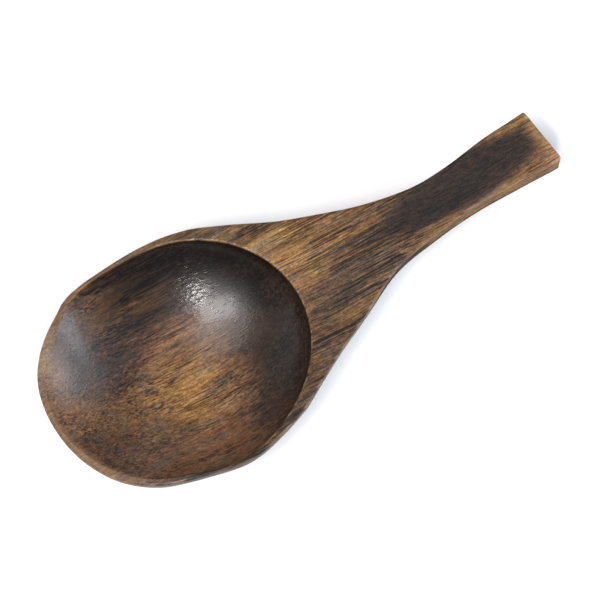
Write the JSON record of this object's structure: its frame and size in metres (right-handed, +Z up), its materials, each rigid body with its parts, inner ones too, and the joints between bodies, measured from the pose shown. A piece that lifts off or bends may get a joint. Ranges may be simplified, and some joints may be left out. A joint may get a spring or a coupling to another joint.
{
  "type": "tea scoop",
  "caption": "Short wooden tea scoop: a round carved bowl that runs through a flat shoulder into a narrow flared handle, finished in thin dark wiped lacquer.",
  "frame": {"origin": "on the flat foot, in the plane that the scoop rests on, under the middle of the bowl", "axes": "+X along the scoop towards the end of the handle, +Y across it to the left seen from above with the handle to the right, +Z up out of the hollow"},
  "size_m": [0.0999, 0.043, 0.0157],
  "materials": {
    "wood": "bare sanded wood",
    "lacquer": "dark wiped lacquer over open grain, satin with a gloss in the hollow"
  },
  "bodies": {
    "root": {"wood_body": "wood", "lacquer_coat": "lacquer"}
  },
  "joints": []
}
